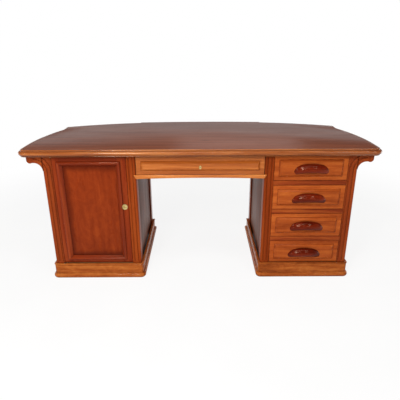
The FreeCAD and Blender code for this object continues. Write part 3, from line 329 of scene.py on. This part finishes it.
def wood(name, grain, seed, tones, gloss, cloud, coat, specular, figure, mottle, wear, rub, dirt, stain):
    """Polished wood: slow drift, growth bands, fibres, pores, dark flecks, pale edges that are partly rubbed
    by use and partly painted highlights, painted shade along edges and in hollows that is partly dark
    polish, and painted shadow of the moulding on the door's panel.
    """
    dark, middle, light = tones
    shader = Nodes(bpy.data.materials.new("wood_" + name))
    place = shader.place()
    if len(grain) == 2:
        run = mitred_grain(shader, place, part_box(name), grain[0], grain[1])
    else:
        run = along_grain(shader, place, grain)
    shift = seeded(WOOD_SEED_STEP, seed)

    def layer(scale):
        return shader.stretched(run, scale, shift)

    drift = shader.noise(layer(DRIFT_SCALE), detail=2.0)
    bands = shader.noise(layer(BANDS_SCALE), detail=4.0, rough=0.6, twist=0.6)
    fibres = shader.noise(layer(FIBRES_SCALE), detail=3.0, rough=0.6)
    pores = shader.ramp(shader.noise(layer(PORES_SCALE), detail=1.0), *PORES_RANGE)
    rings = shader.node("ShaderNodeTexWave", {"Vector": layer(RINGS_SCALE), **RINGS_WAVE},
                        wave_type="BANDS", bands_direction="DIAGONAL").outputs["Fac"]
    streak = shader.total((shader.ramp(bands, *BANDS_RANGE), BANDS_WEIGHT), (rings, RINGS_WEIGHT),
                          (shader.ramp(drift, *DRIFT_RANGE), DRIFT_WEIGHT), (fibres, FIBRES_WEIGHT))
    contrast = shader.times(shader.math("SUBTRACT", streak, STREAK_MIDDLE), figure)
    tone = shader.math("ADD", contrast, MIDDLE_TONE, clamp=True)
    if mottle:
        patches = shader.noise(layer(PATCHES_SCALE), detail=5.0, rough=0.7, twist=1.2)
        uneven = shader.times(shader.math("SUBTRACT", patches, PATCHES_MIDDLE), mottle)
        tone = shader.math("ADD", tone, uneven, clamp=True)
    paint = shader.tones(tone, dark, middle, light)
    paint = shader.blend(shader.times(pores, PORE_STRENGTH), paint, dark)

    spots = shader.node("ShaderNodeTexVoronoi", {"Vector": layer(FLECKS_SCALE), "Scale": 1.0})
    flecks = shader.times(shader.ramp(spots.outputs["Distance"], *FLECKS_RANGE),
                          shader.ramp(drift, *FLECKS_AMONG))
    paint = shader.blend(shader.times(flecks, FLECK_STRENGTH), paint, tinted(dark, FLECK_TINT))

    rounded, edge = shader.edges(rub)
    # Painted shade: a darker band along every sharp edge stands for the shade lines at gaps and grooves,
    # partly dark polish
    border = shader.edges(BORDER_WIDTH)[1]
    paint = shader.blend(shader.times(border, dirt * BORDER_STRENGTH), paint, tinted(dark, POLISH_TINT))
    # Pale edges, partly rubbed by use and partly painted highlights along the edges
    scuffs = shader.noise(place, scale=26.0, detail=4.0, rough=0.65)
    worn = shader.times(edge, shader.ramp(scuffs, *WORN_RANGE))
    paint = shader.blend(shader.times(worn, wear), paint, tinted(light, WORN_TINT))
    # Painted shadow of the door's moulding on its panel, partly dark polish
    if stain:
        film = shader.times(old_polish(shader, place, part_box(name)), stain)
        paint = shader.blend(film, paint, tinted(dark, POLISH_TINT))
    # Painted shade: ambient occlusion darkens hollows, corners and grooves, partly as dark polish
    grime = shader.times(shader.hollows(HOLLOW_REACH), dirt)
    paint = shader.blend(grime, paint, tinted(dark, HOLLOW_TINT))

    smear = shader.noise(layer(SMEAR_SCALE), detail=4.0, rough=0.6)
    polish = shader.ramp(smear, *SMEAR_RANGE, gloss - cloud, gloss + cloud)
    rough = shader.math("ADD", polish, shader.times(shader.math("MAXIMUM", pores, worn), MARKS_ROUGH))
    height = shader.math("SUBTRACT", shader.times(fibres, FIBRE_HEIGHT), pores)
    normal = shader.bump(height, WOOD_BUMP, WOOD_BUMP_DEPTH, rounded)
    return shader.surface(Base_Color=paint, Roughness=rough, Normal=normal, Specular_IOR_Level=specular,
                          Specular_Tint=SHELLAC, Coat_Weight=coat, Coat_Roughness=WOOD_COAT_ROUGH)


# Metal
TARNISH_SCALE = (60.0, 60.0, 60.0)
SCRATCH_SCALE = (900.0, 900.0, 90.0)
METAL_SEED_STEP = (1.0, 1.7, 0.6)
TARNISH_RANGE = (0.40, 0.68)
TARNISH_ROUGH_RANGE = (0.3, 0.7)
TARNISH_ROUGH = (0.20, 0.42)        # roughness of fresh and of tarnished metal
SCRATCH_ROUGH = 0.08
METAL_RUB = 0.0006
METAL_RUB_STRENGTH = 0.6
METAL_HOLLOW_REACH = 0.004
METAL_HOLLOW_STRENGTH = 0.7
METAL_HOLLOW_TINT = (0.2, 0.16, 0.12)
METAL_BUMP = 0.06
METAL_BUMP_DEPTH = 0.0002


def metal(name, fresh, aged, seed):
    """Aged metal: cloudy tarnish, fine rubbing marks, brighter edges and dark hollows."""
    shader = Nodes(bpy.data.materials.new(name))
    place = shader.place()
    shift = seeded(METAL_SEED_STEP, seed)
    tarnish = shader.noise(shader.stretched(place, TARNISH_SCALE, shift), detail=5.0, rough=0.65)
    scratch = shader.noise(shader.stretched(place, SCRATCH_SCALE, shift), detail=2.0)
    rounded, edge = shader.edges(METAL_RUB)
    paint = shader.blend(shader.ramp(tarnish, *TARNISH_RANGE), fresh, aged)
    grime = shader.times(shader.hollows(METAL_HOLLOW_REACH), METAL_HOLLOW_STRENGTH)
    paint = shader.blend(grime, paint, tinted(aged, METAL_HOLLOW_TINT))
    paint = shader.blend(shader.times(edge, METAL_RUB_STRENGTH), paint, fresh)
    dull = shader.ramp(tarnish, *TARNISH_ROUGH_RANGE, *TARNISH_ROUGH)
    rough = shader.math("ADD", dull, shader.times(scratch, SCRATCH_ROUGH))
    normal = shader.bump(scratch, METAL_BUMP, METAL_BUMP_DEPTH, rounded)
    return shader.surface(Base_Color=paint, Metallic=1.0, Roughness=rough, Normal=normal)


# Finishes of wood: each has a dark, a middle and a light tone, and changes to these values
PLAIN_FINISH = {
    "gloss": 0.26,         # roughness of the polish, so that less is shinier
    "cloud": 0.05,         # how far smears change that roughness
    "coat": 0.04,
    "specular": 0.09,
    "figure": 0.8,         # contrast of the streaks
    "mottle": 0.0,         # contrast of soft patches
    "wear": 0.5,           # paleness of edges, partly rubbed by use and partly painted highlights
    "rub": 0.0022,         # width of the pale edges
    "dirt": 0.8,           # darkness of painted shade in hollows and along edges, partly dirt
    "stain": 0.0,          # darkness of dark polish and painted moulding shadow on the door's panel
}


def finish(dark, middle, light, **changes):
    return {**PLAIN_FINISH, **changes, "tones": (colour(*dark), colour(*middle), colour(*light))}


FINISHES = {
    "top": finish((92, 46, 28), (124, 68, 46), (148, 86, 60), gloss=0.30, cloud=0.02, coat=0.0,
                  specular=0.045, figure=0.6, wear=0.3, dirt=0.4),
    "edging": finish((102, 43, 14), (152, 81, 35), (194, 121, 61), gloss=0.16, coat=0.20, specular=0.30),
    "post": finish((100, 34, 8), (142, 58, 20), (170, 82, 32), figure=0.5, dirt=0.5),
    "inner_post": finish((100, 34, 8), (142, 58, 20), (170, 82, 32), gloss=0.34, coat=0.0, specular=0.05,
                         figure=0.5, dirt=0.5),
    "door_frame": finish((94, 27, 7), (126, 43, 15), (150, 62, 23)),
    "door_mould": finish((94, 27, 7), (126, 43, 15), (150, 62, 23), gloss=0.16, coat=0.05, specular=0.16),
    # Painted shadow of the moulding along three sides of the panel, partly dark polish
    "door_panel": finish((104, 32, 8), (133, 49, 16), (157, 67, 24), gloss=0.30, coat=0.03, specular=0.08,
                         figure=0.35, mottle=1.0, stain=0.75),
    "drawer": finish((124, 48, 14), (168, 78, 29), (196, 104, 42), figure=0.7, mottle=0.6),
    # Wide pale band at the field's edges: painted highlights on the bevels, partly rubbed by use
    "drawer_field": finish((120, 46, 13), (162, 75, 28), (190, 100, 40), figure=0.7, mottle=0.6, wear=1.0,
                           rub=0.003),
    "centre": finish((136, 62, 18), (176, 94, 36), (212, 130, 60), gloss=0.20, coat=0.35),
    # Wide pale band at the field's edges: painted highlights on the bevels, partly rubbed by use
    "centre_field": finish((136, 62, 18), (174, 92, 35), (208, 126, 58), gloss=0.20, coat=0.35, wear=1.0,
                           rub=0.003),
    # Lighter tones than the centre drawer's and a wide pale band at the edges: painted highlight along the
    # rail, partly rubbed by use
    "apron": finish((150, 74, 26), (194, 110, 46), (224, 144, 72), gloss=0.16, coat=0.15, specular=0.40,
                    wear=1.0, rub=0.006, dirt=0.2),
    "divider": finish((92, 30, 8), (132, 51, 19), (180, 90, 36)),
    # Wide pale band at the edges: painted highlight lines on the top bevel and corners, partly rubbed by use
    "skirting": finish((104, 44, 13), (162, 82, 32), (194, 115, 52), gloss=0.24, coat=0.06, specular=0.04,
                       mottle=1.0, wear=0.9, rub=0.006, dirt=0.3),
    "pull": finish((60, 9, 2), (92, 21, 5), (128, 39, 12), gloss=0.065, cloud=0.015, coat=0.0, specular=0.17,
                   wear=0.3, dirt=0.5),
    "panel": finish((84, 34, 12), (118, 54, 23), (144, 74, 33), gloss=0.38, coat=0.0, specular=0.06,
                    figure=0.7),
    # The outer panels' wood with darker tones: painted shade of the kneehole
    "knee_panel": finish((72, 31, 11), (102, 49, 21), (126, 67, 31), gloss=0.38, coat=0.0, specular=0.05,
                         figure=0.7),
    "inner": finish((138, 94, 54), (170, 124, 78), (192, 148, 102), gloss=0.55, coat=0.0, specular=0.2,
                    wear=0.3, dirt=0.6),
}

# Finish and grain of each wooden node. A mitred frame has two axes of grain
BOARDS = {
    "top_board": ("top", "x"),
    "top_edging_front": ("edging", "x"),
    "top_edging_rear": ("edging", "x"),
    "top_edging_sides": ("edging", "y"),
    "rear_posts": ("post", "z"),
    "corbels": ("post", "z"),
    "back_panels": ("panel", "z"),
    "front_top_rails": ("divider", "x"),
    "drawer_dividers": ("divider", "x"),
    "kneehole_rail": ("apron", "x"),
    "rear_rail": ("centre", "x"),
    "door_stiles": ("door_frame", "z"),
    "door_rails": ("door_frame", "x"),
    "door_moulding": ("door_mould", "xz"),
    "door_panel": ("door_panel", "z"),
    "centre_drawer_front": ("centre", "x"),
    "centre_drawer_field": ("centre_field", "x"),
    "centre_drawer_box": ("inner", "y"),
    "centre_drawer_runners": ("inner", "y"),
    "drawer_runners": ("inner", "y"),
    "bottom_boards": ("inner", "x"),
    "cupboard_shelf": ("inner", "x"),
    "top_fixing_blocks": ("inner", "x"),
}
for hand in ("left_", "right_"):
    BOARDS[hand + "front_outer_post"] = ("post", "z")
    BOARDS[hand + "front_inner_post"] = ("inner_post", "z")
    BOARDS[hand + "inner_panel"] = ("knee_panel", "z")
    BOARDS[hand + "outer_panel"] = ("panel", "z")
    BOARDS[hand + "skirting"] = ("skirting", "xy")
for drawer in DRAWERS:
    BOARDS[drawer + "front"] = ("drawer", "x")
    BOARDS[drawer + "field"] = ("drawer_field", "x")
    BOARDS[drawer + "pull"] = ("pull", "x")
    BOARDS[drawer + "box"] = ("inner", "y")

# Wooden nodes that keep their built edges: curved and mitred lengths, carved pulls and drawer boxes
AS_BUILT = ["top_edging_front", "top_edging_rear", "top_edging_sides", "corbels", "door_moulding",
            "left_skirting", "right_skirting", "centre_drawer_box"]
for drawer in DRAWERS:
    AS_BUILT += [drawer + "pull", drawer + "box"]

METALS = {
    "brass": metal("brass_fittings", colour(226, 204, 140), colour(168, 132, 70), seed=3.0),
    "bronze": metal("bronze_hinges", colour(172, 144, 108), colour(104, 76, 50), seed=5.0),
    "steel": metal("steel_fittings", colour(176, 176, 174), colour(104, 100, 96), seed=8.0),
}
FITTINGS = {
    "lock_ring": "brass", "lock_plug": "brass", "lock_bolt": "brass", "lock_case": "steel",
    "centre_drawer_escutcheon": "brass", "centre_lock_case": "steel", "centre_lock_bolt": "brass",
    "hinge_carcass_plates": "bronze", "hinge_door_plates": "bronze", "shelf_pegs": "brass",
    "top_fixing_screws": "steel",
}


def new_piece(work, name, host, smooth):
    """A piece from a finished mesh, which rides with a node's body."""
    mesh = bpy.data.meshes.new(name)
    work.to_mesh(mesh)
    work.free()
    if "custom_normal" in mesh.attributes:
        mesh.attributes.remove(mesh.attributes["custom_normal"])
    mesh.shade_smooth()
    mesh.set_sharp_from_angle(angle=smooth)
    piece = bpy.data.objects.new(name, mesh)
    scene.collection.objects.link(piece)
    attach(piece, body_of[host])
    return piece


def eased(name):
    """A copy of a node with its sharp edges eased, which stands for it."""
    work = bmesh.new()
    work.from_mesh(nodes[name].data)
    bmesh.ops.remove_doubles(work, verts=work.verts, dist=WELD)
    bmesh.ops.dissolve_limit(work, angle_limit=FLAT, verts=work.verts, edges=work.edges)
    sharp = [edge for edge in work.edges if edge.is_manifold and edge.calc_face_angle() > SHARP]
    bmesh.ops.bevel(work, geom=sharp, offset=EASE, offset_type="OFFSET", segments=EASE_STEPS,
                    profile=EASE_PROFILE, affect="EDGES", clamp_overlap=True)
    piece = new_piece(work, name + "_eased", name, SMOOTH)
    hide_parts(name)
    return piece


def dress(piece, material):
    piece.data.materials.clear()
    piece.data.materials.append(material)


for seed, (name, (kind, grain)) in enumerate(BOARDS.items(), 1):
    piece = nodes[name] if name in AS_BUILT else eased(name)
    dress(piece, wood(name, grain, seed, **FINISHES[kind]))
for name, kind in FITTINGS.items():
    dress(nodes[name], METALS[kind])

# Small fasteners: slotted screws on the lock cases and round pins on the escutcheon
HEAD_SINK = 0.0001         # below the face that the head sits on
HEAD_STEPS = 10            # corners along half a rim
HEAD_TURN = 0.4            # radians that the first head is turned
HEAD_TURN_STEP = 1.9       # and each next one further
# Rings of a head from the rim up, as shares of its radius and of its rise
HEAD_RINGS = ((1.0, 0.0), (1.0, 0.45), (0.86, 0.74), (0.62, 0.92), (0.36, 1.0))
SCREW_HEAD_R = 0.0026
SCREW_RISE = 0.0012
SCREW_SLOT = 0.0003        # half the width of a slot
SLOT_FLOOR = 0.4           # of the rise
SCREW_INSET = 0.0042       # from the edges of the case
PIN_R = 0.0010
PIN_RISE = 0.0006
PIN_INSET = 0.0022         # from the ends of the escutcheon
FRONT = -1                 # the way a face looks along Y
BACK = 1


def lofted(work, rings):
    """Closed solid through rings of corners, from the lowest to the highest."""
    rows = [[work.verts.new(corner) for corner in ring] for ring in rings]
    count = len(rows[0])
    for low, high in zip(rows, rows[1:]):
        for i in range(count):
            j = (i + 1) % count
            work.faces.new((low[i], low[j], high[j], high[i]))
    work.faces.new(rows[0][::-1])
    work.faces.new(rows[-1])


def rim(radius, rise, turns):
    return [(radius * math.cos(turn), radius * math.sin(turn), rise) for turn in turns]


def half_rim(radius, slot, rise):
    """Corners of a half disc whose straight side runs along the slot."""
    first = math.asin(slot / radius)
    return rim(radius, rise, [first + (math.pi - 2 * first) * i / HEAD_STEPS for i in range(HEAD_STEPS + 1)])


def full_rim(radius, rise):
    return rim(radius, rise, [math.pi * i / HEAD_STEPS for i in range(2 * HEAD_STEPS)])


def head(work, at, outward, turn, radius, rise, slot):
    """A screw head with a slot, or a round pin head where the slot is 0, that faces along Y."""
    before = set(work.verts)
    levels = [(share * radius, up * rise) for share, up in HEAD_RINGS]
    if slot:
        floor_rise = SLOT_FLOOR * rise
        lofted(work, [full_rim(radius, -HEAD_SINK), full_rim(radius, floor_rise)])
        upper = [(r, max(up, floor_rise - HEAD_SINK)) for r, up in levels]
        lofted(work, [half_rim(r, slot, up) for r, up in upper])
        lofted(work, [[(-x, -y, z) for x, y, z in half_rim(r, slot, up)] for r, up in upper])
    else:
        lofted(work, [full_rim(r, up if up else -HEAD_SINK) for r, up in levels])
    added = [vert for vert in work.verts if vert not in before]
    face = Matrix.Rotation(math.radians(-90 * outward), 4, "X") @ Matrix.Rotation(turn, 4, "Z")
    bmesh.ops.transform(work, matrix=Matrix.Translation(at) @ face, verts=added)


def fasteners(name, host, spots, outward, radius, rise, slot):
    """Brass heads on the front or back face of a fitting, which ride with it."""
    low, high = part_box(host)
    face_y = high[1] if outward == BACK else low[1]
    work = bmesh.new()
    for number, (x, z) in enumerate(spots):
        head(work, (x, face_y, z), outward, HEAD_TURN + HEAD_TURN_STEP * number, radius, rise, slot)
    dress(new_piece(work, name, host, SHARP), METALS["brass"])


for host in ("lock_case", "centre_lock_case"):
    low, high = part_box(host)
    sides = (low[0] + SCREW_INSET, high[0] - SCREW_INSET)
    ends = (low[2] + SCREW_INSET, high[2] - SCREW_INSET)
    spots = [(x, z) for x in sides for z in ends]
    fasteners(host + "_screws", host, spots, BACK, SCREW_HEAD_R, SCREW_RISE, SCREW_SLOT)
low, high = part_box("centre_drawer_escutcheon")
spots = [((low[0] + high[0]) / 2, z) for z in (low[2] + PIN_INSET, high[2] - PIN_INSET)]
fasteners("escutcheon_pins", "centre_drawer_escutcheon", spots, FRONT, PIN_R, PIN_RISE, 0.0)


def floor():
    """A pale floor that is white to the camera and in reflections, and keeps the shadow of the desk."""
    shader = Nodes(bpy.data.materials.new("floor_paint"))
    place = shader.place()
    cloud = shader.ramp(shader.noise(place, scale=3.0, detail=3.0), *FLOOR_CLOUD_RANGE)
    paint = shader.blend(cloud, *(colour(*tone) for tone in FLOOR_TONES))
    diffuse = shader.node("ShaderNodeBsdfDiffuse", {"Color": paint}).outputs[0]
    glow = shader.node("ShaderNodeEmission", {"Color": WHITE, "Strength": 1.0}).outputs[0]
    rays = shader.node("ShaderNodeLightPath").outputs
    shiny = shader.math("MAXIMUM", rays["Is Glossy Ray"], rays["Is Transmission Ray"])
    seen = shader.math("MAXIMUM", rays["Is Camera Ray"], shiny)
    away = shader.node("ShaderNodeVectorMath", {0: place}, operation="LENGTH").outputs["Value"]
    share = shader.ramp(away, FLOOR_SHADE_IN, FLOOR_SHADE_OUT, FLOOR_WHITE_NEAR, 1.0)
    mix = shader.node("ShaderNodeMixShader", {0: shader.times(seen, share), 1: diffuse, 2: glow})
    shader.output(mix.outputs[0])
    mesh = bpy.data.meshes.new("floor")
    outline = [(x * FLOOR_HALF, y * FLOOR_HALF, 0.0) for x, y in ((-1, -1), (1, -1), (1, 1), (-1, 1))]
    mesh.from_pydata(outline, [], [(0, 1, 2, 3)])
    mesh.materials.append(shader.owner)
    plane = bpy.data.objects.new("floor", mesh)
    scene.collection.objects.link(plane)


def world():
    """A white backdrop for the camera, and low down for reflections, with a studio grey for the rest."""
    space = Nodes(bpy.data.worlds.new("studio"))
    rays = space.node("ShaderNodeLightPath").outputs
    direction = space.node("ShaderNodeTexCoord").outputs["Generated"]
    band = space.ramp(space.parts(direction)[2], BACKDROP_LOW, BACKDROP_HIGH, 1.0, 0.0)
    shiny = space.math("MAXIMUM", rays["Is Glossy Ray"], rays["Is Transmission Ray"])
    seen = space.math("MAXIMUM", rays["Is Camera Ray"], space.times(shiny, band))
    white = space.node("ShaderNodeBackground", {"Color": WHITE, "Strength": 1.0}).outputs[0]
    grey = space.node("ShaderNodeBackground", {"Color": WHITE, "Strength": SKY_LEVEL}).outputs[0]
    mix = space.node("ShaderNodeMixShader", {0: seen, 1: grey, 2: white})
    space.output(mix.outputs[0], "ShaderNodeOutputWorld")
    scene.world = space.owner


def lamp(name, at, towards, width, height, power, tint):
    light = bpy.data.lights.new(name, "AREA")
    light.shape = "RECTANGLE"
    light.size = width
    light.size_y = height
    light.energy = power
    light.color = tint
    holder = bpy.data.objects.new(name, light)
    holder.location = at
    holder.rotation_euler = (Vector(towards) - Vector(at)).to_track_quat("-Z", "Y").to_euler()
    scene.collection.objects.link(holder)


def camera():
    lens = bpy.data.cameras.new("camera")
    lens.lens = CAMERA_LENS
    lens.sensor_width = CAMERA_SENSOR
    lens.shift_x = CAMERA_SHIFT_X
    holder = bpy.data.objects.new("camera", lens)
    holder.location = CAMERA_AT
    aim = Euler((math.radians(90 - CAMERA_PITCH), 0, CAMERA_YAW)).to_matrix()
    holder.rotation_euler = (aim @ Matrix.Rotation(CAMERA_ROLL, 3, "Z")).to_euler()
    scene.collection.objects.link(holder)
    scene.camera = holder


floor()
world()
for row in LAMPS:
    lamp(*row)
camera()
scene.view_settings.view_transform = "Standard"
